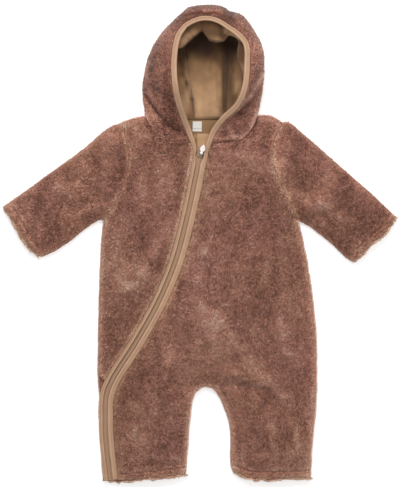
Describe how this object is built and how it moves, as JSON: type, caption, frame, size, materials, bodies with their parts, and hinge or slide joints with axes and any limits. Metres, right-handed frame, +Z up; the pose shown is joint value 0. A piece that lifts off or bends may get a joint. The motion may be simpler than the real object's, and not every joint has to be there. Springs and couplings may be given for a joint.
{
  "type": "baby snowsuit",
  "caption": "Hooded baby snowsuit of long-pile fleece, laid flat on its back, with a lined hood, bound edges and a diagonal zip from neck to one leg hem.",
  "frame": {"origin": "middle of the box's base, on the surface that the garment lies on", "axes": "+Z up, away from the surface; +Y from the legs towards the hood; +X towards the wearer's left"},
  "size_m": [0.55, 0.6664, 0.0606],
  "materials": {
    "fleece": "long-pile teddy fleece",
    "jersey": "matt jersey",
    "binding": "folded jersey binding",
    "zip_tape": "woven polyester tape",
    "zip_coil": "nylon coil",
    "slider": "satin enamel",
    "pull": "white moulded plastic",
    "label": "white satin ribbon, blank"
  },
  "bodies": {
    "garment": {"back_panel": "fleece", "front_right": "fleece", "front_left": "fleece", "sleeve_right": "fleece", "sleeve_left": "fleece", "hood_right": "fleece", "hood_left": "fleece", "hood_centre": "fleece", "hood_lining_right": "jersey", "hood_lining_left": "jersey", "hood_lining_centre": "jersey", "back_neck_lining": "jersey", "zip_guard": "jersey", "hood_binding": "binding", "binding_right": "binding", "binding_left": "binding", "zip_tape_right": "zip_tape", "zip_tape_left": "zip_tape", "zip_chain": "zip_coil", "zip_slider": "slider", "neck_label": "label"},
    "pull": {"zip_pull": "pull"}
  },
  "joints": [
    {"name": "pull_swing", "type": "hinge", "parent": "garment", "child": "pull", "pos_m": [0.0018, 0.1256, 0.0169], "axis": [0.9553, -0.2955, 0], "range_deg": [0, 165]}
  ]
}
